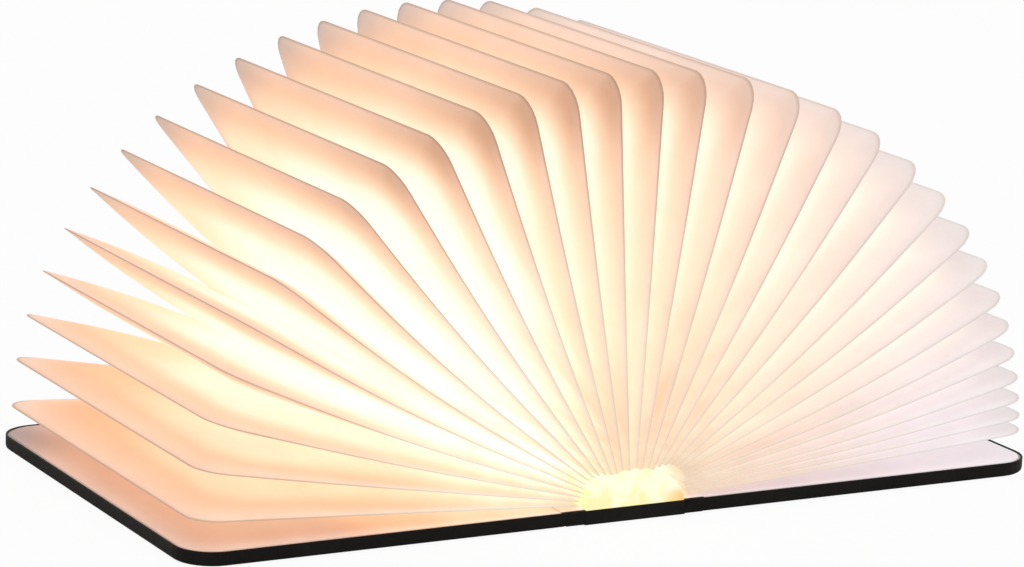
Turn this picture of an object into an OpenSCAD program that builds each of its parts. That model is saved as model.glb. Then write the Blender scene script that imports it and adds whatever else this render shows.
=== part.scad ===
// Folding book lamp: two hard covers hinged on a lit spine, with a pleated bellows of
// paper pages between them that fans out when the covers lie open.
// Frame: origin under the middle of the spine, on the surface it lies on, Y along the
// spine, X across the open covers, Z up.

/* [Covers] */
// Thickness of a finished cover
cover_t = 3.7; // [3:0.1:5]
// Length of the covers and the spine along Y
cover_l = 125.5; // [110:0.5:140]
// Distance from the middle of the spine to a cover's outer edge
cover_reach = 123; // [118:0.5:130]
// Radius of the outer corners of the covers
cover_corner_r = 10; // [6:0.5:14]
// Radius along the lower edges of the covers
cover_edge_r = 1; // [0.6:0.1:1.4]
// Thickness of the black wrap
wrap_t = 0.5; // [0.3:0.1:0.8]
// Thickness of the paper lining inside the cover
lining_t = 0.3; // [0.2:0.1:0.5]
// Space left between the lining and the rim of the cover
lining_margin = 0.7; // [0.5:0.1:2]

/* [Closing magnets] */
// Diameter of a magnet
magnet_d = 8; // [6:0.5:10]
// Thickness of a magnet
magnet_t = 1.5; // [1:0.1:2]
// Distance from the outer edge to the magnets
magnet_edge = 11; // [8:0.5:20]
// Distance of the magnets from the middle of the cover along Y
magnet_y = 45; // [30:1:50]
// Distance of the switching magnet from the hinge
switch_magnet_x = 13; // [11:0.5:20]

/* [Hinges] */
// Distance of each hinge line from the middle of the spine
hinge_x = 15; // [14.5:0.1:16]
// Distance from the hinge line to the edge of the cover board
hinge_gap = 4.8; // [4.6:0.1:6]
// Thickness of the hinge cloth
hinge_cloth_t = 0.8; // [0.5:0.1:1.2]
// Number of ribs along the hinge cloth
hinge_ribs = 3; // [2:1:4]

// Thickness of the paper strip that hides the hinge cloth
strip_t = 0.2; // [0.15:0.05:0.3]

/* [Bellows] */
// Half width of the open fan of pages
fan_r = 121; // [118:0.5:122]
// Height of the fan above the level of its lowest folds
fan_h = 104.7; // [95:0.1:115]
// Height of the fan's centre
fan_z = 9; // [8:0.1:11]
// Space between the ends of the pages and the ends of the lining
page_margin = 0.35; // [0.3:0.05:2]
// Radius of the pages' outer corners
page_corner_r = 7; // [5:0.5:10]
// Depth of the pleats, from the outer fold to the inner fold
pleat_depth = 30; // [24:1:44]
// Radius of the corners of the inner folds
inner_corner_r = 12; // [8:0.5:13]
// Least distance from the hinge line to a page
page_start = 0.9; // [0.9:0.1:3]
// Thickness of a page
page_t = 0.2; // [0.15:0.05:0.25]
// Outer folds on the left of the middle
left_pages = 14; // [12:1:16]
// Outer folds on the right of the middle
right_pages = 17; // [14:1:20]
// Angle of the first outer fold above the left cover, in degrees
first_angle = 1.3; // [1:0.1:3]
// Angle of the last outer fold, from the same side, in degrees
last_angle = 178.7; // [177:0.1:179]
// Pitches at the top of the fan that lie left of the first fold on the right
top_left = 4; // [2:1:6]
// Pitches at the top of the fan that lie right of it
top_right = 1; // [0:1:3]
// Those pitches, as a share of the pitch on the left
top_share = 0.9; // [0.8:0.01:1.1]
// Pitch on the right, as a share of the pitch on the left
right_share = 1.05; // [0.9:0.01:1.1]
// Folds on the right that stand at the full pitch
open_right_pages = 8; // [6:1:10]
// Share of the pitch on the right that the last pitch has lost
crowding = 0.69; // [0.3:0.01:0.75]

/* [Spine and light] */
// Width of the spine tray
spine_w = 29; // [28:0.1:29.5]
// Thickness of the floor of the spine tray
tray_floor = 1.2; // [0.8:0.1:1.4]
// Thickness of the aluminium plate under the LED board
sink_t = 0.5; // [0.3:0.1:0.6]
// Width of the aluminium plate
sink_w = 18; // [16:0.5:18.5]
// Distance of the board screws from the middle
screw_x = 4.6; // [4:0.1:5]
// Radius of the board screws
screw_r = 0.8; // [0.6:0.1:1]
// Height of the heads of the board screws
screw_head_h = 0.6; // [0.4:0.1:0.6]
// Distance of the first screws from the end of the light cover
screw_end = 5; // [4:0.5:7]
// Distance from the screws to the battery and to the charging board
screw_space = 4; // [3:0.5:5]
// Height of the light cover above the spine tray
diffuser_h = 3.6; // [3.5:0.1:4.5]
// Width of the light cover
diffuser_w = 21; // [20:0.1:23]
// Wall of the light cover
diffuser_wall = 0.8; // [0.6:0.1:0.8]
// Thickness of the flange at the foot of the light cover
flange_t = 0.4; // [0.3:0.1:0.6]
// Width of the flange and of the end plate of the light cover
end_w = 28.4; // [27:0.1:28.6]
// Height of the end plate above the spine tray
end_h = 9.4; // [7:0.1:11]
// Thickness of the end plate
end_t = 1; // [0.8:0.1:1.1]
// Petals round the end plate
petals = 13; // [9:1:17]
// Depth between the petals
petal_depth = 0.5; // [0.2:0.1:0.8]
// Flutes over the light cover
flutes = 12; // [8:1:16]
// Depth of a flute
flute_depth = 0.25; // [0.1:0.05:0.35]
// Length of the socket block at the far end
socket_block_l = 12; // [11:0.5:14]
// Width of the LED board
led_board_w = 16; // [14:0.5:18]
// Thickness of the LED board
led_board_t = 0.8; // [0.6:0.1:1]
// LED chips in each row
leds_per_row = 9; // [6:1:12]

// Width of an LED chip
led_w = 2.8; // [2:0.1:3]
// Length of an LED chip
led_l = 3.5; // [2:0.1:4]
// Height of an LED chip
led_h = 0.7; // [0.5:0.1:0.8]
// Distance of a row of LEDs from the middle
led_x = 4; // [3:0.1:5]
// Distance of the first and last LEDs from the screws
led_end = 5; // [4:0.5:8]

/* [Battery] */
// Width of the battery
battery_w = 20; // [18:1:21]
// Length of the battery
battery_l = 72; // [60:1:84]
// Thickness of the battery
battery_t = 2.1; // [1.6:0.1:2.1]

/* [Charging socket] */
// Width of the socket shell
socket_w = 8.9; // [8.9:0.1:9.2]
// Height of the socket shell
socket_h = 3.2; // [3.1:0.1:3.3]
// Depth of the socket shell
socket_l = 7.3; // [7:0.1:8]

// Distance of the socket's mouth from the end of the spine
socket_setback = 1.2; // [1:0.1:1.6]
// Width of the charging board
charge_board_w = 16; // [12:0.5:18]
// Length of the charging board
charge_board_l = 22; // [16:0.5:24]
// Thickness of the charging board
charge_board_t = 0.8; // [0.6:0.1:1]

/* [Fits] */
// Clearance round the board screws
screw_clear = 0.1; // [0.05:0.05:0.2]
// Clearance between pieces that lie beside each other
fit_gap = 0.2; // [0.1:0.05:0.3]
// Clearance between neighbouring folds of the bellows
fold_gap = 0.3; // [0.2:0.05:0.4]
// Clearance of the bellows above the light cover when the lamp is closed
root_gap = 0.5; // [0.4:0.05:0.8]

/* [Hidden] */
page_count = left_pages + right_pages;
page_names = [for (k = [1 : page_count]) str("page_", k < 10 ? "0" : "", k)];

$fn = 48;
eps = 0.01;

black = [0.06, 0.05, 0.045];
paper = [0.98, 0.86, 0.72];
board_grey = [0.55, 0.52, 0.48];

// Spine tray levels
led_board_z = cover_t + sink_t;
page_l = cover_l - 2 * (wrap_t + lining_margin + page_margin);
light_y0 = -cover_l / 2 + fit_gap;
light_y1 = cover_l / 2 - socket_block_l - 1;
board_y1 = cover_l / 2 - socket_setback;
charge_board_z = tray_floor + fit_gap;
socket_z = charge_board_z + charge_board_t + socket_h / 2;
// The two screws at the far end stand clear of the charging board
screw_ys = [light_y0 + screw_end, board_y1 - charge_board_l - screw_space];
battery_y = screw_ys[0] + screw_space + battery_l / 2;

// ---- Outlines --------------------------------------------------------------

// Half of the open lamp's cover seen from above, on the +X side, its outer corners round
module cover_outline(inset, r) {
    x0 = hinge_x + hinge_gap + inset;
    x1 = cover_reach - inset;
    y1 = cover_l / 2 - inset;
    union() {
        translate([x0, -y1]) square([x1 - r - x0, 2 * y1]);
        translate([x0, -y1 + r]) square([x1 - x0, 2 * (y1 - r)]);
        for (s = [-1, 1]) translate([x1 - r, s * (y1 - r)]) circle(r = r);
    }
}

// Height of the light cover's outside at a distance x from the middle of the spine
function diffuser_top(x) =
    let (q = min(1, abs(x) / (diffuser_w / 2))) max(flange_t, diffuser_h * sqrt(1 - q * q));

// Points over the fluted light cover, from one foot to the other
function dome(half_w, h, flute) = [
    for (i = [0 : 4 * flutes])
        let (a = 180 * i / (4 * flutes), f = flute * (cos(a * 2 * flutes) - 1) / 2)
        [(half_w + f) * cos(a), (h + f) * sin(a)]
];

module dome_bar(half_w, h, flute, y0, y1) {
    translate([0, y1, cover_t]) rotate([90, 0, 0])
        linear_extrude(y1 - y0) polygon(dome(half_w, h, flute));
}

// ---- Spine ------------------------------------------------------------------

module spine_tray() {
    color(black) difference() {
        translate([-spine_w / 2, -cover_l / 2, 0]) cube([spine_w, cover_l, cover_t]);
        translate([-battery_w / 2 - fit_gap, battery_y - battery_l / 2 - fit_gap, tray_floor])
            cube([battery_w + 2 * fit_gap, battery_l + 2 * fit_gap, cover_t]);
        translate([-charge_board_w / 2 - fit_gap, board_y1 - charge_board_l - fit_gap,
                   tray_floor])
            cube([charge_board_w + 2 * fit_gap, charge_board_l + 2 * fit_gap, cover_t]);
        port(socket_w + 2 * fit_gap, socket_h + 2 * fit_gap);
        for (x = [-screw_x, screw_x], y = screw_ys)
            translate([x, y, tray_floor]) cylinder(r = screw_r + screw_clear / 2, h = cover_t * 2);
    }
}

// Way in to the socket through the far end
module port(w, h) {
    translate([0, cover_l / 2 + 1, socket_z]) rotate([90, 0, 0])
        linear_extrude(cover_l / 2 + 3 - light_y1 - socket_block_l) slot_outline(w, h);
}

module heat_sink() {
    color("silver") difference() {
        translate([-sink_w / 2, light_y0 + 1.5, cover_t])
            cube([sink_w, light_y1 - light_y0 - 3, sink_t]);
        for (x = [-screw_x, screw_x], y = screw_ys)
            translate([x, y, cover_t - 1]) cylinder(r = screw_r + screw_clear, h = sink_t + 2);
    }
}

module battery() {
    r = battery_t / 2;
    color("silver") translate([0, battery_y, tray_floor + fit_gap + r]) union() {
        translate([-battery_w / 2 + r, -battery_l / 2, -r])
            cube([battery_w - 2 * r, battery_l, battery_t]);
        for (s = [-1, 1])
            translate([s * (battery_w / 2 - r), battery_l / 2, 0]) rotate([90, 0, 0])
                cylinder(r = r, h = battery_l);
    }
}

module led_board() {
    color("white") difference() {
        translate([-led_board_w / 2, light_y0 + 1.5, led_board_z])
            cube([led_board_w, light_y1 - light_y0 - 3, led_board_t]);
        for (x = [-screw_x, screw_x], y = screw_ys)
            translate([x, y, led_board_z - 1])
                cylinder(r = screw_r + screw_clear, h = led_board_t + 2);
    }
}

module led_chips() {
    y0 = screw_ys[0] + led_end;
    y1 = screw_ys[1] - led_end;
    color([1, 0.93, 0.7]) for (s = [-1, 1], i = [0 : leds_per_row - 1])
        translate([s * led_x - led_w / 2, y0 + (y1 - y0) * i / (leds_per_row - 1) - led_l / 2,
                   led_board_z + led_board_t])
            cube([led_w, led_l, led_h]);
}

module board_screws() {
    z = led_board_z + led_board_t;
    color("gray") for (x = [-screw_x, screw_x], y = screw_ys) translate([x, y, 0]) union() {
        translate([0, 0, tray_floor + 0.3]) cylinder(r = screw_r, h = z - tray_floor - 0.3);
        difference() {
            translate([0, 0, z]) cylinder(r = 1.5, h = screw_head_h);
            for (a = [0, 90]) rotate(a) translate([-1, -0.15, z + screw_head_h / 2]) cube([2, 0.3, 1]);
        }
    }
}

// Round the petals of the end plate, from one foot to the other
petal_steps = 4;
function petal_edge(half_w, h) = [
    for (i = [0 : petals * petal_steps])
        let (a = 180 * i / (petals * petal_steps),
             f = petal_depth * (1 - abs(sin(a * petals))))
        [(half_w - f) * cos(a), (h - f) * sin(a)]
];

module diffuser() {
    w = diffuser_w / 2;
    color([1, 0.96, 0.8]) union() {
        difference() {
            union() {
                dome_bar(w, diffuser_h, flute_depth, light_y0, light_y1);
                translate([-end_w / 2, light_y0, cover_t])
                    cube([end_w, light_y1 - light_y0, flange_t]);
            }
            translate([0, 0, -eps]) dome_bar(w - diffuser_wall, diffuser_h - diffuser_wall, 0,
                     light_y0 + end_t, light_y1 - diffuser_wall);
        }
        translate([0, light_y0 + end_t, cover_t]) rotate([90, 0, 0])
            linear_extrude(end_t) polygon(petal_edge(end_w / 2, end_h));
    }
}

module socket_block() {
    w = diffuser_w / 2;
    y0 = light_y1 + fit_gap;
    y1 = light_y1 + socket_block_l;
    color(black) difference() {
        dome_bar(w, diffuser_h, 0, y0, y1);
        translate([-socket_w / 2 - fit_gap, y0 + 1, cover_t - eps])
            cube([socket_w + 2 * fit_gap, y1 - y0 - 2,
                  socket_z + socket_h / 2 + fit_gap - cover_t]);
        port(socket_w + 2 * fit_gap, socket_h + 2 * fit_gap);
    }
}

// Outline with round ends, centred
module slot_outline(w, h) {
    union() {
        square([w - h, h], center = true);
        for (s = [-1, 1]) translate([s * (w - h) / 2, 0]) circle(d = h);
    }
}

module charge_board() {
    color("darkgreen") union() {
        translate([-charge_board_w / 2, board_y1 - charge_board_l, charge_board_z])
            cube([charge_board_w, charge_board_l, charge_board_t]);
        for (i = [0 : 2])
            translate([-5 + 4 * i, board_y1 - socket_l - 2.4 - fit_gap,
                       charge_board_z + charge_board_t])
                cube([2.2, 1.6, 0.8]);
    }
}

module usb_socket() {
    wall = 0.3;
    tongue_w = 0.75 * socket_w;
    tongue_t = 0.22 * socket_h;
    color("silver") translate([0, board_y1, socket_z]) rotate([90, 0, 0]) union() {
        difference() {
            linear_extrude(socket_l) slot_outline(socket_w, socket_h);
            translate([0, 0, -1]) linear_extrude(socket_l)
                slot_outline(socket_w - 2 * wall, socket_h - 2 * wall);
        }
        translate([-tongue_w / 2, -tongue_t / 2, 1]) cube([tongue_w, tongue_t, socket_l - 1]);
    }
}

module hall_sensor() {
    color([0.1, 0.1, 0.1])
        translate([-charge_board_w / 2 + 0.6, board_y1 - charge_board_l + 0.6,
                   charge_board_z + charge_board_t])
            cube([3, 4, 0.9]);
}

// ---- Covers -----------------------------------------------------------------

magnet_places = [
    [cover_reach - magnet_edge, magnet_y],
    [cover_reach - magnet_edge, -magnet_y]
];
board_top = cover_t - lining_t;
board_bottom = wrap_t;
magnet_z = board_top - magnet_t - 0.1;

module magnets(clear, places) {
    for (p = places) translate([p[0], p[1], magnet_z - clear])
        cylinder(d = magnet_d + 2 * clear, h = magnet_t + (clear > 0 ? 5 : 0));
}

module cover_board(places) {
    r = cover_corner_r - wrap_t;
    color(board_grey) difference() {
        translate([0, 0, board_bottom]) linear_extrude(board_top - board_bottom)
            cover_outline(wrap_t, r);
        magnets(0.1, places);
    }
}

// Black wrap: the bottom and the rim of the cover, its lower edge rounded
module cover_wrap() {
    color(black) difference() {
        hull() for (i = [0 : 4]) {
            a = 90 * i / 4;
            inset = cover_edge_r * (1 - sin(a));
            translate([0, 0, cover_edge_r * (1 - cos(a))])
                linear_extrude(cover_t - cover_edge_r) cover_outline(inset, cover_corner_r - inset, $fn = 32);
        }
        translate([0, 0, board_bottom]) linear_extrude(cover_t)
            cover_outline(wrap_t, cover_corner_r - wrap_t, $fn = 32);
    }
}

module cover_lining() {
    inset = wrap_t + lining_margin;
    color(paper) translate([0, 0, board_top]) linear_extrude(lining_t)
        cover_outline(inset, cover_corner_r - inset);
}

// Ribbed strip that bridges the groove between the spine tray and a cover
module hinge_strip() {
    x0 = spine_w / 2 + fit_gap;
    x1 = hinge_x + hinge_gap - fit_gap;
    y1 = cover_l / 2;
    end_l = 1.2;
    pitch = (x1 - x0) / hinge_ribs;
    color(black) union() {
        translate([x0, -y1, cover_t - hinge_cloth_t])
            cube([x1 - x0, 2 * y1, hinge_cloth_t]);
        for (i = [0 : hinge_ribs - 1])
            translate([x0 + pitch * (i + 0.15), -y1, fit_gap])
                cube([0.7 * pitch, 2 * y1, cover_t - hinge_cloth_t - fit_gap + eps]);
        for (y = [-y1, y1 - end_l])
            translate([x0, y, fit_gap]) cube([x1 - x0, end_l, cover_t - fit_gap]);
    }
}

// Paper strip over the hinge cloth, from the light cover to the lining
module hinge_paper() {
    x0 = end_w / 2 + fit_gap;
    x1 = hinge_x + hinge_gap + wrap_t + lining_margin - fit_gap;
    y1 = cover_l / 2 - wrap_t - lining_margin;
    color(paper) translate([x0, -y1, cover_t]) cube([x1 - x0, 2 * y1, strip_t]);
}

left_switch_magnet = [[hinge_x + hinge_gap + switch_magnet_x, cover_l / 2 - charge_board_l]];

module left_board() { mirror([1, 0, 0]) cover_board(concat(magnet_places, left_switch_magnet)); }
module left_wrap() { mirror([1, 0, 0]) cover_wrap(); }
module left_lining() { mirror([1, 0, 0]) cover_lining(); }
module left_hinge() { mirror([1, 0, 0]) hinge_strip(); }
module left_strip() { mirror([1, 0, 0]) hinge_paper(); }
module left_magnets() {
    color("silver") mirror([1, 0, 0]) magnets(0, concat(magnet_places, left_switch_magnet));
}
module right_board() { cover_board(magnet_places); }
module right_wrap() { cover_wrap(); }
module right_lining() { cover_lining(); }
module right_hinge() { hinge_strip(); }
module right_strip() { hinge_paper(); }
module right_magnets() { color("silver") magnets(0, magnet_places); }

// ---- Bellows ----------------------------------------------------------------
// A fold is a U: in along one end of the page, round a corner, along the outer edge and
// back along the other end. Outer folds have whole numbers from the left, inner folds lie
// half way between them. Each fold lies in a plane through a line parallel to the hinge.

// Pitch from outer fold k to the next one, as a share of the pitch on the left
function pitch_share(k) =
    let (
        from_middle = k - left_pages - 1,
        crowded = max(0, from_middle + 2 - open_right_pages)
    )
    from_middle < -top_left ? 1
    : from_middle < top_right ? top_share
    : right_share * (1 - crowding * crowded / (right_pages - open_right_pages));

function pitches_before(k) = k <= 1 ? 0 : pitches_before(k - 1) + pitch_share(k - 1);

// Angle of outer fold k round the fan, in degrees from the left
function outer_angle(k) =
    first_angle + (last_angle - first_angle) * pitches_before(k) / pitches_before(page_count);

// Angle at which the fan's outline meets the lining
rest_angle = -asin((fan_z - cover_t - 1.5 * fold_gap) / fan_h);

// Angle of fold k, where halves are the inner folds
function fan_angle(k) =
    k < 1 ? rest_angle
    : k > page_count ? 180 - rest_angle
    : (outer_angle(floor(k)) + outer_angle(ceil(k))) / 2;

// Height of fold k in the closed stack, measured from its own cover's lining
first_offset = 1.5 * fold_gap;
function stack_offset(k, side) =
    let (f = side < 0 ? (k - 0.5) / left_pages : (page_count + 0.5 - k) / right_pages)
    first_offset + (hinge_x - first_offset) * f;

// Plane of fold k on a side: [angle above the cover, offset from the hinge line, reach]
function fold_plane(k, side) =
    let (
        a = fan_angle(k),
        out = fan_r * abs(cos(a)) * (side * cos(a) < 0 ? 1 : -1) - hinge_x,
        up = fan_z + fan_h * sin(a) - cover_t,
        d = norm([out, up]),
        e = stack_offset(k, side)
    )
    [atan2(up, out) - asin(e / d), e, sqrt(d * d - e * e)];

// Point of a fold plane at a distance s from the hinge line, shifted by n off the plane
function fold_point(plane, side, s, y, n) =
    let (o = plane[1] + n)
    [side * (hinge_x + s * cos(plane[0]) - o * sin(plane[0])), y,
     cover_t + s * sin(plane[0]) + o * cos(plane[0])];

// Where the inner end of a fold starts, so that it clears the light cover when closed
function root_start(plane) =
    max(page_start, diffuser_top(max(0, hinge_x - plane[1])) + root_gap);

// Stations along the U, as [distance along the page, Y], from one root to the other
straight_steps = 4;
corner_steps = 6;
function fold_path(root, reach, half_l, r) = concat(
    [for (i = [0 : straight_steps - 1])
        [root + (reach - r - root) * i / straight_steps, -half_l]],
    [for (i = [0 : corner_steps])
        let (a = 90 * i / corner_steps)
        [reach - r + r * sin(a), -half_l + r - r * cos(a)]],
    [[reach, 0]],
    [for (i = [corner_steps : -1 : 0])
        let (a = 90 * i / corner_steps)
        [reach - r + r * sin(a), half_l - r + r * cos(a)]],
    [for (i = [straight_steps - 1 : -1 : 0])
        [root + (reach - r - root) * i / straight_steps, half_l]]
);

// One pleat: a sheet folded over its outer fold, open towards the spine
module pleat(k) {
    side = k <= left_pages ? -1 : 1;
    fold = fold_plane(k, side);
    lower = fold_plane(k - 0.5, side);
    upper = fold_plane(k + 0.5, side);
    ridge = fold_path(root_start(fold), fold[2], page_l / 2, page_corner_r);
    n = len(ridge);
    // towards the fold from each inner fold
    lo = side < 0 ? 1 : -1;
    v_lo = fold_path(root_start(lower), lower[2] - pleat_depth, page_l / 2 - pleat_depth,
                     inner_corner_r);
    v_up = fold_path(root_start(upper), upper[2] - pleat_depth, page_l / 2 - pleat_depth,
                     inner_corner_r);
    g = fold_gap / 2;
    inner_n = g + page_t;
    // how far the inside of the fold stays behind the outside, as a share of the depth
    function wall(i) =
        let (
            p = fold_point(fold, side, ridge[i][0], 0, 0),
            q = fold_point(upper, side, ridge[i][0], 0, 0),
            h = norm(p - q) - g
        )
        min(0.6, page_t / h);
    outside = [for (i = [0 : n - 1]) fold_point(fold, side, ridge[i][0], ridge[i][1], 0)];
    lo_out = [for (i = [0 : n - 1]) fold_point(lower, side, v_lo[i][0], v_lo[i][1], lo * g)];
    up_out = [for (i = [0 : n - 1]) fold_point(upper, side, v_up[i][0], v_up[i][1], -lo * g)];
    lo_in = [for (i = [0 : n - 1]) fold_point(lower, side, v_lo[i][0], v_lo[i][1], lo * inner_n)];
    up_in = [for (i = [0 : n - 1]) fold_point(upper, side, v_up[i][0], v_up[i][1], -lo * inner_n)];
    inside = [for (i = [0 : n - 1])
        outside[i] + wall(i) * ((lo_in[i] + up_in[i]) / 2 - outside[i])];
    points = concat(outside, up_out, up_in, inside, lo_in, lo_out);
    rows = 6;
    quads = [for (r = [0 : rows - 1], i = [0 : n - 2])
        [r * n + i, ((r + 1) % rows) * n + i, ((r + 1) % rows) * n + i + 1, r * n + i + 1]];
    // both faces of each sheet are split along the same diagonals, so that it keeps its thickness
    faces = concat(
        [for (q = quads) q[0] < 2 * n || (q[0] >= 3 * n && q[0] < 5 * n)
            ? [q[0], q[1], q[2]] : [q[0], q[1], q[3]]],
        [for (q = quads) q[0] < 2 * n || (q[0] >= 3 * n && q[0] < 5 * n)
            ? [q[0], q[2], q[3]] : [q[1], q[2], q[3]]],
        [for (e = [0, n - 1], half = [0, 1])
            let (a = e, b = n + e, c = 2 * n + e, d = 3 * n + e, f = 4 * n + e, h = 5 * n + e,
                 t = half == 0 ? [a, d, c, b] : [a, h, f, d])
            e == 0 ? t : [t[3], t[2], t[1], t[0]]]
    );
    flip = side < 0;
    color(paper) polyhedron(points, flip ? faces : [for (f = faces) [for (i = [len(f) - 1 : -1 : 0]) f[i]]]);
}

// ---- The lamp ---------------------------------------------------------------

spine_tray();
heat_sink();
battery();
led_board();
led_chips();
charge_board();
usb_socket();
hall_sensor();
diffuser();
socket_block();
board_screws();
left_board();
left_wrap();
left_lining();
left_magnets();
left_hinge();
left_strip();
right_board();
right_wrap();
right_lining();
right_magnets();
right_hinge();
right_strip();
for (k = [1 : page_count])
    pleat(k);
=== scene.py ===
"""Folding book lamp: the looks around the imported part.

Lengths are in millimetres until MM scales them.
"""

import math
import random

import bmesh
import bpy
from mathutils import Matrix, Vector


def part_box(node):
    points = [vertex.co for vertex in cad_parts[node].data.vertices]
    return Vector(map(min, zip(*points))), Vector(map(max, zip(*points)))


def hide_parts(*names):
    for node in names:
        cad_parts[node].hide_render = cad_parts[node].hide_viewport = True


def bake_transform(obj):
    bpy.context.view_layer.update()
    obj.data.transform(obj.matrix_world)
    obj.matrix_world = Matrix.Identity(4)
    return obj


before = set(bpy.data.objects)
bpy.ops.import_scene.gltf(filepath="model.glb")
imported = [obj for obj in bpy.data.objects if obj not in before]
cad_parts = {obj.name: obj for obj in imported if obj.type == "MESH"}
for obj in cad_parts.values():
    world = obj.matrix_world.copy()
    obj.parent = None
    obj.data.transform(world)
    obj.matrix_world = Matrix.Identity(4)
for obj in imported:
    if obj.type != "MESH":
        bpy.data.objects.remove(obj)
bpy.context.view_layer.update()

MM = 0.001

# ---- The bellows' driving sizes, as the part has them --------------------------------

COVER_T = 3.7
HINGE_X = 15.0
FAN_R = 121.0
FAN_H = 104.7
FAN_Z = 9.0
PAGE_L = 122.4
PAGE_CORNER_R = 7.0
INNER_CORNER_R = 12.0
PLEAT_DEPTH = 30.0
FOLD_GAP = 0.3
ROOT_GAP = 0.5
PAGE_START = 0.9
DIFFUSER_H = 3.6
DIFFUSER_W = 21.0
FLANGE_T = 0.4
END_W = 28.4
END_H = 9.4
LEFT_PAGES = 14
RIGHT_PAGES = 17
FIRST_ANGLE = 1.3
LAST_ANGLE = 178.7
TOP_LEFT = 4
TOP_RIGHT = 1
TOP_SHARE = 0.9
RIGHT_SHARE = 1.05
OPEN_RIGHT_PAGES = 8
CROWDING = 0.69

PAGES = LEFT_PAGES + RIGHT_PAGES
FIRST_OFFSET = 1.5 * FOLD_GAP
REST_ANGLE = -math.degrees(math.asin((FAN_Z - COVER_T - FIRST_OFFSET) / FAN_H))

# ---- The looks' own sizes -----------------------------------------------------------------

# Steps of a leaf's mesh along the fold and across the leaf, and its thickness
ALONG = 64
ACROSS = 8
PAPER_T = 0.16
# Most that an outer fold strays from its plane: to one side, and in waves along it
LEAN = 0.2
RIPPLE = 0.15
# How far a leaf bows out, as a share of the gap between its folds
BOW = 0.16
# How far a lying page sags half way up, and how much more it may sag than the page below it
SAG = 3.0
SAG_STEP = 0.5
# Ribs of the hinge cloth: their number, their depth and how soon they run out at its ends
RIBS = 3
RIB_DEPTH = 1.2
RIB_END = 4.0
# How far the hinge cloth is tucked under the pieces beside it
TUCK = 0.25
# Steps of the bending bars' meshes
BAR_ACROSS = 24
BAR_ALONG = 32
# Height of the glow's centre in the fan
GLOW_Z = 8.0

# Glow of the paper, from full light (0) to full shade (1), on the left and on the right
WARM_GLOW = [
    (0.0, (0.80, 0.81, 0.74)),
    (0.2, (0.80, 0.73, 0.56)),
    (0.42, (0.80, 0.57, 0.37)),
    (0.7, (0.76, 0.40, 0.22)),
    (0.88, (0.68, 0.33, 0.18)),
    (1.0, (0.47, 0.24, 0.16)),
]
COOL_GLOW = [
    (0.0, (0.82, 0.82, 0.77)),
    (0.2, (0.79, 0.76, 0.67)),
    (0.42, (0.72, 0.64, 0.58)),
    (0.7, (0.64, 0.54, 0.53)),
    (0.95, (0.48, 0.39, 0.39)),
]

# Name, place in metres and power of each soft lamp, and their width
LAMPS = [
    ("key", (-0.5, -0.7, 0.9), 5.5),
    ("fill", (0.8, -0.5, 0.7), 3.0),
    ("back", (0.1, 0.9, 0.8), 3.0),
]
LAMP_W = 0.9
# Strength of the surround's light, how white the floor looks, and the floor's half width and
# place in metres
SKY_LIGHT = 0.42
FLOOR_WHITE = 0.94
FLOOR_HALF_W = 6
FLOOR_Z = -0.0004


# ---- Camera, stage and light ----------------------------------------------------------

def make_camera():
    """A long lens, low and to the left of the spine's near end."""
    place = Vector((-0.5369, -0.9695, 0.3026))
    yaw, pitch, roll = (math.radians(a) for a in (28.64, 13.07, 2.17))
    forward = Vector((math.sin(yaw) * math.cos(pitch), math.cos(yaw) * math.cos(pitch),
                      -math.sin(pitch)))
    right = forward.cross(Vector((0, 0, 1))).normalized()
    up = right.cross(forward)
    turned_right = right * math.cos(roll) + up * math.sin(roll)
    turned_up = up * math.cos(roll) - right * math.sin(roll)
    data = bpy.data.cameras.new("camera")
    camera = bpy.data.objects.new("camera", data)
    bpy.context.scene.collection.objects.link(camera)
    camera.matrix_world = Matrix((
        (turned_right.x, turned_up.x, -forward.x, place.x),
        (turned_right.y, turned_up.y, -forward.y, place.y),
        (turned_right.z, turned_up.z, -forward.z, place.z),
        (0, 0, 0, 1),
    ))
    data.sensor_width = 36
    data.lens = 152.5
    data.shift_x = 0.013
    data.shift_y = 0.0063
    data.clip_start = 0.05
    data.clip_end = 20
    bpy.context.scene.camera = camera


# ---- Node materials ---------------------------------------------------------------------

class Sum:
    """A number socket that takes part in sums."""

    def __init__(self, nodes, socket):
        self.nodes = nodes
        self.socket = socket

    def _join(self, operation, a, b):
        return self.nodes.node("ShaderNodeMath", {0: a, 1: b}, operation=operation)

    def __add__(self, other):
        return self._join("ADD", self, other)

    def __radd__(self, other):
        return self._join("ADD", other, self)

    def __sub__(self, other):
        return self._join("SUBTRACT", self, other)

    def __rsub__(self, other):
        return self._join("SUBTRACT", other, self)

    def __mul__(self, other):
        return self._join("MULTIPLY", self, other)

    def __rmul__(self, other):
        return self._join("MULTIPLY", other, self)

    def __truediv__(self, other):
        return self._join("DIVIDE", self, other)

    def __pow__(self, other):
        return self._join("POWER", self, other)

    def above(self, low, high):
        """0 at low, 1 at high, and smooth between."""
        limits = {"Value": self, "From Min": low, "From Max": high}
        return self.nodes.node("ShaderNodeMapRange", limits, interpolation_type="SMOOTHSTEP")


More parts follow.
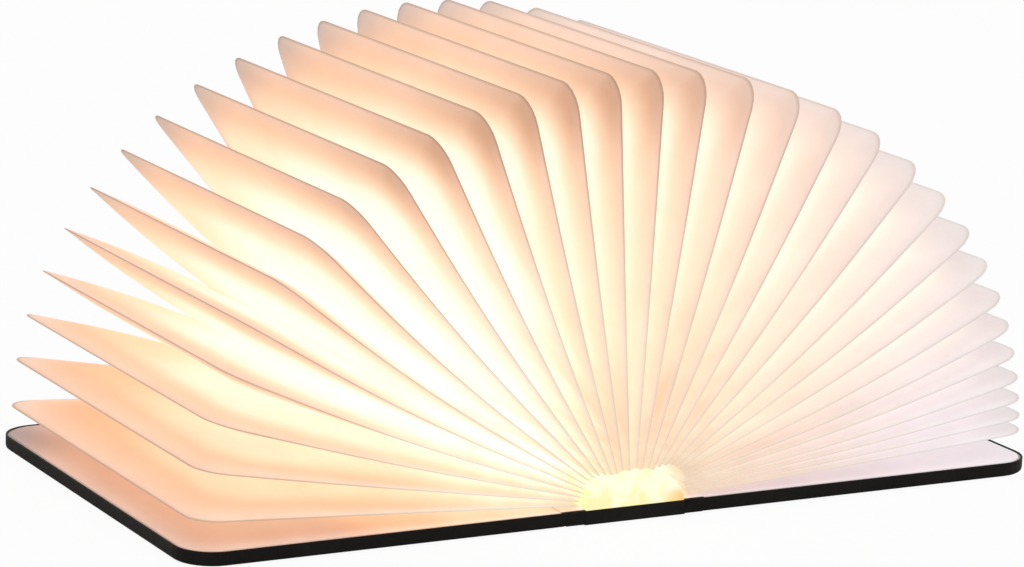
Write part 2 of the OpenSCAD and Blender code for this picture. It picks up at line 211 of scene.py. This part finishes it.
class Nodes:
    """A node tree, and the one way in which nodes are added to it."""

    def __init__(self, tree):
        self.tree = tree

    def feed(self, target, value):
        if isinstance(value, Sum):
            self.tree.links.new(value.socket, target)
        elif target.type == "RGBA":
            target.default_value = (*value, 1)
        else:
            target.default_value = value

    def node(self, kind, inputs=None, out=0, stops=None, **settings):
        made = self.tree.nodes.new(kind)
        for key, value in settings.items():
            setattr(made, key, value)
        if stops:
            ramp = made.color_ramp
            while len(ramp.elements) < len(stops):
                ramp.elements.new(1)
            for element, (place, color) in zip(ramp.elements, stops):
                element.position = place
                element.color = (*color, 1)
        for key, value in (inputs or {}).items():
            self.feed(made.inputs[key], value)
        return Sum(self, made.outputs[out])

    def ray(self, kind):
        """1 for one kind of light path, such as the camera's."""
        return self.node("ShaderNodeLightPath", out=f"Is {kind} Ray")


class Finish(Nodes):
    """A material: its shader and the nodes that feed it."""

    def __init__(self, name, color=(0.8, 0.8, 0.8), roughness=0.5, specular=0.5, metallic=0.0):
        self.material = bpy.data.materials.new(name)
        self.material.use_nodes = True
        super().__init__(self.material.node_tree)
        self.shader = self.tree.nodes["Principled BSDF"]
        self.set("Base Color", color)
        self.set("Roughness", roughness)
        self.set("Specular IOR Level", specular)
        self.set("Metallic", metallic)

    def set(self, socket, value):
        self.feed(self.shader.inputs[socket], value)

    def place(self):
        """X, Y and Z on the object, in metres."""
        at = self.node("ShaderNodeTexCoord", out="Object")
        return [self.node("ShaderNodeSeparateXYZ", {0: at}, out=i) for i in range(3)]

    def noise(self, scale, detail=2.0, rough=0.5, stretch=(1, 1, 1)):
        at = self.node("ShaderNodeTexCoord", out="Object")
        at = self.node("ShaderNodeMapping", {"Vector": at, "Scale": stretch})
        return self.noise_at(at, scale, detail, rough)

    def noise_at(self, at, scale, detail, rough):
        return self.node("ShaderNodeTexNoise",
                         {"Vector": at, "Scale": scale, "Detail": detail, "Roughness": rough})

    def mix(self, share, a, b):
        """Colour a, or b as far as share goes from 0 to 1."""
        return self.node("ShaderNodeMix", {0: share, 6: a, 7: b}, out=2, data_type="RGBA")

    def bump(self, height, strength, distance):
        rough = self.node("ShaderNodeBump",
                          {"Height": height, "Strength": strength, "Distance": distance})
        self.set("Normal", rough)

    def glow(self, color, strength):
        self.set("Emission Color", color)
        self.set("Emission Strength", strength)
        self.material.cycles.emission_sampling = "NONE"


def paper_finish(name, pleated):
    """Translucent paper lit from inside, with its light and shade painted: cream by the light,
    painted shade of peach to tan at the outer folds, and cooler painted light to the right."""
    f = Finish(name, roughness=0.62, specular=0.2)
    x, y, z = f.place()

    # Place in the fan, as shares of its half width and its height
    lateral = x / (FAN_R * MM)
    height = (z - GLOW_Z * MM) / (FAN_H * MM)
    away = (lateral * lateral + height * height) ** 0.5
    steep = height / away
    right = (lateral + 0.1).above(0, 0.95)
    low = 1 - steep.above(0.0, 0.5)
    # How deep in its pleat a place is, where the paper is brighter
    if pleated:
        uv = f.node("ShaderNodeUVMap", uv_map="leaf")
        along, inward = (f.node("ShaderNodeSeparateXYZ", {0: uv}, out=i) for i in (0, 1))
        depth = 0.1 + inward.above(0, 0.52) * 0.9
    else:
        depth = 0.15

    # Shade: most at the outer folds, far from the light and low down, with a bright spot at the
    # left, clouds, and rays that spread from the light
    spot = ((lateral + 0.42) ** 2 + (height - 0.3) ** 2) ** 0.5
    cloud = f.noise(26, 3, 0.55)
    angle = f.node("ShaderNodeMath", {0: height, 1: lateral}, operation="ARCTAN2")
    rays = f.noise_at(f.node("ShaderNodeCombineXYZ", {0: angle}), 7.0, 3.0, 0.65)
    radial = 0.54 + away.above(0.2, 1.05) * 0.46 - (1 - spot.above(0.05, 0.6)) * 0.3
    far = (y / MM).above(-15, 35) * away.above(0.3, 0.8)
    shade = radial * (1 - depth * 0.88) + low * away.above(0.05, 0.6) * (0.42 - right * 0.26)
    shade = shade * 0.97 + far * depth * 0.28 + (cloud - 0.5) * 0.1
    shade = shade + (rays - 0.5) * (1.5 - away.above(0.15, 0.9) * 1.1)
    shade = shade + steep.above(0.5, 0.95) * (1 - away.above(0.15, 0.6)) * 0.16
    if pleated:
        shade = f.node("ShaderNodeMath", {0: shade, 1: 0.78}, operation="MINIMUM")

    # Colour of the glow: warm at the left, cool at the right and violet low down there
    warm = f.node("ShaderNodeValToRGB", {0: shade}, stops=WARM_GLOW)
    cool = f.node("ShaderNodeValToRGB", {0: shade}, stops=COOL_GLOW)
    light = f.mix(right, warm, cool)
    light = f.mix(low * right * 0.7, light, (0.62, 0.59, 0.67))
    core = 1 - away.above(0.05, 0.16)
    light = f.mix(core * 0.15, light, (1.0, 0.86, 0.5))
    fibre = f.noise(90, 4, 0.6, (1, 0.5, 1))
    tint = f.mix(fibre.above(0.3, 0.7), (0.46, 0.43, 0.40), (0.50, 0.47, 0.44))

    if pleated:
        # Painted shade, tan, where the near corner of a page turns
        painted_bend_shade = ((along - 0.395) ** 2) ** 0.5
        painted_bend_shade = (1 - painted_bend_shade.above(0.01, 0.1)) * (1 - inward.above(0.02, 0.4))
        painted_bend_shade = painted_bend_shade * height.above(0.52, 0.9) * (1 - lateral.above(-0.05, 0.5) * 0.85)
        light = f.mix(painted_bend_shade * 0.95, light, (0.39, 0.18, 0.09))
        tint = f.mix(painted_bend_shade * 0.7, tint, (0.42, 0.26, 0.17))
        # Painted shade: brown at the far corners, and a soft shaded crease along each fold near the
        # light
        painted_tip_shade = (y / MM).above(30, 61) * away.above(0.85, 1.0) * (0.2 + height.above(0.3, 0.7) * 0.7)
        light = f.mix(painted_tip_shade, light, (0.36, 0.22, 0.17))
        painted_crease_shade = (1 - inward.above(0.0, 0.14)) * (1 - away.above(0.4, 0.85))
        crease_shade_colour = f.mix(lateral.above(-0.3, 0.05), (0.55, 0.54, 0.44), (0.56, 0.44, 0.30))
        light = f.mix(painted_crease_shade * 0.62, light, crease_shade_colour)
        # Painted grey shade towards the outer edge at the right, and a fine dark line of painted
        # shade on each outer fold
        light = f.mix(right * away.above(0.86, 1.0) * 0.5, light, (0.46, 0.41, 0.42))
        fold_line_strength = 0.15 + away.above(0.3, 0.9) * 0.47
        fold_line_shade = (1 - inward.above(0.0, 0.028)) * fold_line_strength * (1 - right * 0.7)
        tint = f.mix(fold_line_shade, tint, (0.26, 0.18, 0.14))
        light = f.mix(fold_line_shade, light, (0.20, 0.14, 0.09))
    else:
        # Painted violet shadow beside the spine at the right, and a dull far corner of painted
        # shade at the left
        shadow = (lateral - 0.1).above(0, 0.1) * (1 - lateral.above(0.3, 1.0) * 0.7)
        light = f.mix(shadow * 0.8, light, (0.42, 0.34, 0.40))
        painted_corner_shade = (0 - lateral).above(0.87, 1.0) * (y / MM).above(22, 60)
        light = f.mix(painted_corner_shade, light, (0.27, 0.2, 0.19))
        tint = f.mix(painted_corner_shade, tint, (0.22, 0.17, 0.16))
    f.set("Base Color", tint)
    f.glow(light, 0.8)
    f.bump(f.noise(420, 3, 0.6, (1, 0.35, 1)) + fibre * 2, 0.25, 0.0002)
    return f.material


def wrap_finish():
    """Near-black book cloth with a fine grain and a dull sheen."""
    f = Finish("black_wrap", specular=0.12)
    at = f.node("ShaderNodeTexCoord", out="Object")
    grain = f.node("ShaderNodeTexVoronoi", {"Vector": at, "Scale": 1300}, feature="SMOOTH_F1")
    wear = f.noise(60, 4, 0.6)
    dark, pale = (0.003, 0.0025, 0.002), (0.007, 0.006, 0.005)
    f.set("Base Color", f.mix(wear.above(0.35, 0.75), dark, pale))
    f.set("Roughness", 0.5 + wear * 0.2)
    f.bump(grain + wear * 0.4, 0.3, 0.00015)
    return f.material


def plain_finish(name, dark, light, roughness, scale=180, metallic=0.0, bump=0.15, specular=0.5):
    """A material of one colour that varies a little, with a fine surface."""
    f = Finish(name, metallic=metallic, specular=specular)
    cloud = f.noise(scale, 4, 0.6)
    f.set("Base Color", f.mix(cloud.above(0.3, 0.7), dark, light))
    f.set("Roughness", roughness - 0.06 + cloud * 0.12)
    f.bump(f.noise(scale * 6, 3), bump, 0.00008)
    return f.material


def chip_finish():
    """Yellow phosphor of the LEDs, lit."""
    f = Finish("led_chip", (0.8, 0.62, 0.2))
    f.glow(f.mix(f.noise(2500, 2), (1.0, 0.78, 0.35), (1.0, 0.86, 0.5)), 1.0)
    return f.material


def light_cover_finish():
    """Milky plastic over the LEDs: white at the top, yellow at the feet, amber at the right one."""
    f = Finish("light_cover", (0.3, 0.27, 0.2))
    x, y, z = f.place()
    across = x / (END_W / 2 * MM)
    low = 1 - ((z / MM - COVER_T) / END_H).above(0.0, 0.7)
    streak = f.noise(260, 3, 0.6, (1, 0.2, 1))
    patch = low * 0.6 + (streak - 0.45) * 2.5
    bright = f.mix(patch.above(0.1, 0.9), (1.0, 0.99, 0.74), (1.0, 0.86, 0.38))
    amber = across.above(0.45, 1.0) * low.above(0.2, 0.9)
    f.glow(f.mix(amber * 0.9, bright, (1.0, 0.45, 0.06)), 0.8)
    f.bump(f.noise(300, 2), 0.1, 0.0001)
    return f.material


# ---- Pieces ---------------------------------------------------------------------------------

def pitch_share(k):
    """Pitch from outer fold k to the next one, as a share of the pitch on the left."""
    from_middle = k - LEFT_PAGES - 1
    if from_middle < -TOP_LEFT:
        return 1
    if from_middle < TOP_RIGHT:
        return TOP_SHARE
    crowded = max(0, from_middle + 2 - OPEN_RIGHT_PAGES)
    return RIGHT_SHARE * (1 - CROWDING * crowded / (RIGHT_PAGES - OPEN_RIGHT_PAGES))


def pitches_before(k):
    return sum(pitch_share(i) for i in range(1, k))


def outer_angle(k):
    """Angle of outer fold k round the fan, in degrees from the left."""
    return FIRST_ANGLE + (LAST_ANGLE - FIRST_ANGLE) * pitches_before(k) / pitches_before(PAGES)


def fan_angle(k):
    """The same for the inner folds as well, which are halves."""
    if k < 1:
        return REST_ANGLE
    if k > PAGES:
        return 180 - REST_ANGLE
    return (outer_angle(math.floor(k)) + outer_angle(math.ceil(k))) / 2


class Plane:
    """The plane that fold k lies in, on the left (side -1) or the right (side 1)."""

    def __init__(self, k, side):
        a = math.radians(fan_angle(k))
        out = -side * FAN_R * math.cos(a) - HINGE_X
        up = FAN_Z + FAN_H * math.sin(a) - COVER_T
        share = (k - 0.5) / LEFT_PAGES if side < 0 else (PAGES + 0.5 - k) / RIGHT_PAGES
        self.side = side
        self.offset = FIRST_OFFSET + (HINGE_X - FIRST_OFFSET) * share
        far = math.hypot(out, up)
        self.angle = math.atan2(up, out) - math.asin(self.offset / far)
        self.reach = math.sqrt(far * far - self.offset * self.offset)
        self.turn = 90 - math.degrees(self.angle)
        foot = min(1.0, max(0.0, HINGE_X - self.offset) / (DIFFUSER_W / 2))
        top = max(FLANGE_T, DIFFUSER_H * math.sqrt(1 - foot * foot))
        self.root = max(PAGE_START, top + ROOT_GAP)
        pages_below = max(0.0, k - 1 if side < 0 else PAGES - k)
        self.sag = min(SAG * math.cos(self.angle), SAG_STEP * pages_below)

    def point(self, s, y, off=0.0):
        """Point at a distance s from the hinge line and off the plane, with the page's sag."""
        o = self.offset + off - self.sag * math.sin(math.pi * s / self.reach)
        x = HINGE_X + s * math.cos(self.angle) - o * math.sin(self.angle)
        z = COVER_T + s * math.sin(self.angle) + o * math.cos(self.angle)
        return Vector((self.side * x, y, z))

    def normal(self):
        """Unit vector off the plane, away from the cover."""
        return Vector((-self.side * math.sin(self.angle), 0, math.cos(self.angle)))


def fold_path(root, reach, half_l, corner_r, u):
    """Point of a U-shaped fold at share u of its way: (distance from the hinge line, Y)."""
    ends, corners = 0.36, 0.08
    back = u > 0.5
    t = 1 - u if back else u
    if t < ends:
        s, y = root + (reach - corner_r - root) * t / ends, -half_l
    elif t < ends + corners:
        a = math.pi / 2 * (t - ends) / corners
        s = reach - corner_r + corner_r * math.sin(a)
        y = -half_l + corner_r - corner_r * math.cos(a)
    else:
        s, y = reach, (-half_l + corner_r) * (0.5 - t) / (0.5 - ends - corners)
    return s, (-y if back else y)


def unsmooth(w):
    """The t whose smoothstep is w."""
    return 0.5 - math.sin(math.asin(1 - 2 * min(1.0, max(0.0, w))) / 3)


def add_mesh(name, bm, materials, smooth=True):
    mesh = bpy.data.meshes.new(name)
    bm.to_mesh(mesh)
    bm.free()
    for m in materials:
        mesh.materials.append(m)
    if smooth:
        mesh.shade_smooth()
    piece = bpy.data.objects.new(name, mesh)
    bpy.context.scene.collection.objects.link(piece)
    return piece


def leaf(k, inward, finish):
    """Half a pleat: the sheet from outer fold k to the inner fold beside it, on the side
    towards the middle of the fan or towards the cover."""
    side = -1 if k <= LEFT_PAGES else 1
    step = -side * (0.5 if inward else -0.5)
    fold, valley = Plane(k, side), Plane(k + step, side)
    reach = valley.reach - PLEAT_DEPTH
    waver = random.Random(k)
    lean, ripple = LEAN * waver.uniform(-1, 1), RIPPLE * waver.uniform(-1, 1)

    def at(u, v):
        s, y = fold_path(fold.root, fold.reach, PAGE_L / 2, PAGE_CORNER_R, u)
        p = fold.point(s, y, lean * math.sin(math.pi * u) + ripple * math.sin(3 * math.pi * u))
        s, y = fold_path(valley.root, reach, PAGE_L / 2 - PLEAT_DEPTH, INNER_CORNER_R, u)
        q = valley.point(s, y)
        gap = (valley.point(s, 0) - fold.point(s, 0)).length
        bow = BOW * gap * math.sin(math.pi * v) * (1 if inward else -1)
        return (p.lerp(q, v) + fold.normal() * bow) * MM

    bm = bmesh.new()
    bm.loops.layers.uv.new("leaf")
    bmesh.ops.create_grid(bm, x_segments=ALONG, y_segments=ACROSS, size=0.5, calc_uvs=True)
    for vertex in bm.verts:
        vertex.co = at(vertex.co.x + 0.5, vertex.co.y + 0.5)
    name = f"page_{k:02d}_{'inner' if inward else 'outer'}_leaf"
    piece = add_mesh(name, bm, [finish])
    wall = piece.modifiers.new("paper", "SOLIDIFY")
    wall.thickness = PAPER_T * MM
    wall.offset = 0

    # In the lamp a leaf turns with fold k along its outer edge, and half way to the next fold along
    # its inner edge. Here only the body beyond the page is picked, which both leaves of a page
    # would bend towards to stay together along a sagging fold; beside the middle the inner ones
    # take their own page.
    beyond = k - 1 if side < 0 else k + 1
    if inward and k in (LEFT_PAGES, LEFT_PAGES + 1):
        body, turn = f"page_{k:02d}", fold.turn
    elif 1 <= beyond <= PAGES:
        body, turn = f"page_{beyond:02d}", Plane(beyond, side).turn
    else:
        body, turn = ("left_cover" if side < 0 else "right_cover"), 90.0
    # Where the blend has to start and end, so that both folds get their share of that turn
    t_fold, t_valley = unsmooth(fold.turn / turn), unsmooth(valley.turn / turn)
    normal = fold.normal()
    origin = fold.point(reach, 0)
    rate = (t_valley - t_fold) / (valley.point(reach, 0) - origin).dot(normal)
    start = origin - normal * (t_fold / rate)
    end = origin + normal * ((1 - t_fold) / rate)
    start * MM
    end * MM
    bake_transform(piece)
    if inward:
        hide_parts(f"page_{k:02d}")


def bending_bar(node, finish, ribs=0, tuck=0.0):
    """A finely divided bar in the place of a CAD node beside the spine, across the hinge line."""
    low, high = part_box(node)
    low, high = low - Vector((tuck * MM, 0, 0)), high + Vector((tuck * MM, 0, 0))
    bm = bmesh.new()
    bmesh.ops.create_cube(bm, size=1)
    across = [e for e in bm.edges if abs((e.verts[0].co - e.verts[1].co).x) > 0.5]
    bmesh.ops.subdivide_edges(bm, edges=across, cuts=BAR_ACROSS - 1, use_grid_fill=True)
    along = [e for e in bm.edges if abs((e.verts[0].co - e.verts[1].co).y) > 0.5]
    bmesh.ops.subdivide_edges(bm, edges=along, cuts=BAR_ALONG - 1, use_grid_fill=True)
    middle = (low + high) / 2
    for v in bm.verts:
        under = v.co.z < 0
        turn = v.co.x + 0.5
        v.co = middle + Vector(a * b for a, b in zip(v.co, high - low))
        if ribs and under:
            inset = min(1.0, (high.y - abs(v.co.y)) / (RIB_END * MM))
            v.co.z += RIB_DEPTH * MM * inset * (0.5 - 0.5 * math.cos(2 * math.pi * ribs * turn))
    piece = add_mesh(f"{node}_bar", bm, [finish], smooth=False)
    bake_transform(piece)
    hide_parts(node)


def make_stage():
    """A pale floor under a white surround, and soft plain light."""
    bm = bmesh.new()
    bmesh.ops.create_grid(bm, x_segments=1, y_segments=1, size=FLOOR_HALF_W)
    for v in bm.verts:
        v.co.z = FLOOR_Z
    f = Finish("floor", (0.85, 0.85, 0.85), roughness=0.9, specular=0.1)
    white = f.node("ShaderNodeEmission", {"Color": (1, 1, 1), "Strength": 1.0})
    plain = Sum(f, f.shader.outputs[0])
    both = f.node("ShaderNodeMixShader", {0: f.ray("Camera") * FLOOR_WHITE, 1: plain, 2: white})
    f.feed(f.tree.nodes["Material Output"].inputs["Surface"], both)
    floor = add_mesh("floor", bm, [f.material], smooth=False)

    world = bpy.data.worlds.new("world")
    bpy.context.scene.world = world
    world.use_nodes = True
    sky = Nodes(world.node_tree)
    lit = sky.node("ShaderNodeBackground", {"Color": (1, 1, 1), "Strength": SKY_LIGHT})
    seen = sky.node("ShaderNodeBackground", {"Color": (1, 1, 1), "Strength": 1.0})
    straight = sky.node("ShaderNodeMath", {0: sky.ray("Camera"), 1: sky.ray("Glossy")},
                        operation="MAXIMUM")
    both = sky.node("ShaderNodeMixShader", {0: straight, 1: lit, 2: seen})
    sky.feed(sky.tree.nodes["World Output"].inputs["Surface"], both)

    for name, place, power in LAMPS:
        lamp = bpy.data.lights.new(name, "AREA")
        lamp.energy = power
        lamp.size = LAMP_W
        holder = bpy.data.objects.new(name, lamp)
        bpy.context.scene.collection.objects.link(holder)
        holder.location = place
        aim = Vector((0, 0, 0.04)) - Vector(place)
        holder.rotation_mode = "QUATERNION"
        holder.rotation_quaternion = aim.to_track_quat("-Z", "Y")


def dress(finish, *nodes):
    """Give CAD nodes their finish."""
    for n in nodes:
        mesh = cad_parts[n].data
        mesh.materials.clear()
        mesh.materials.append(finish)


make_camera()
bpy.context.scene.view_settings.view_transform = "Standard"
make_stage()

page_paper = paper_finish("page_paper", True)
lining_paper = paper_finish("lining_paper", False)
black_wrap = wrap_finish()
black_plastic = plain_finish("black_plastic", (0.004, 0.0035, 0.003), (0.008, 0.007, 0.006), 0.6,
                             specular=0.12)
hinge_black = plain_finish("hinge_cloth", (0.004, 0.0035, 0.003), (0.010, 0.009, 0.008), 0.75,
                           scale=900, bump=0.5, specular=0.1)
metal = plain_finish("plated_steel", (0.45, 0.45, 0.47), (0.6, 0.6, 0.62), 0.35, metallic=1.0)
aluminium = plain_finish("aluminium", (0.6, 0.61, 0.63), (0.7, 0.71, 0.73), 0.4, metallic=1.0)
grey_board = plain_finish("grey_board", (0.42, 0.40, 0.36), (0.52, 0.49, 0.45), 0.85)
white_board = plain_finish("white_board", (0.82, 0.82, 0.80), (0.9, 0.9, 0.88), 0.45)
green_board = plain_finish("green_board", (0.02, 0.14, 0.06), (0.04, 0.20, 0.09), 0.4)

dress(lining_paper, "left_lining", "right_lining")
dress(black_wrap, "left_wrap", "right_wrap")
dress(black_plastic, "spine_tray", "socket_block", "hall_sensor")
dress(light_cover_finish(), "diffuser")
dress(metal, "left_magnets", "right_magnets", "usb_socket", "board_screws")
dress(aluminium, "heat_sink", "battery")
dress(grey_board, "left_board", "right_board")
dress(white_board, "led_board")
dress(green_board, "charge_board")
dress(chip_finish(), "led_chips")

for number in range(1, PAGES + 1):
    leaf(number, True, page_paper)
    leaf(number, False, page_paper)
for cover in ("left", "right"):
    bending_bar(f"{cover}_hinge", hinge_black, ribs=RIBS, tuck=TUCK)
    bending_bar(f"{cover}_strip", lining_paper)
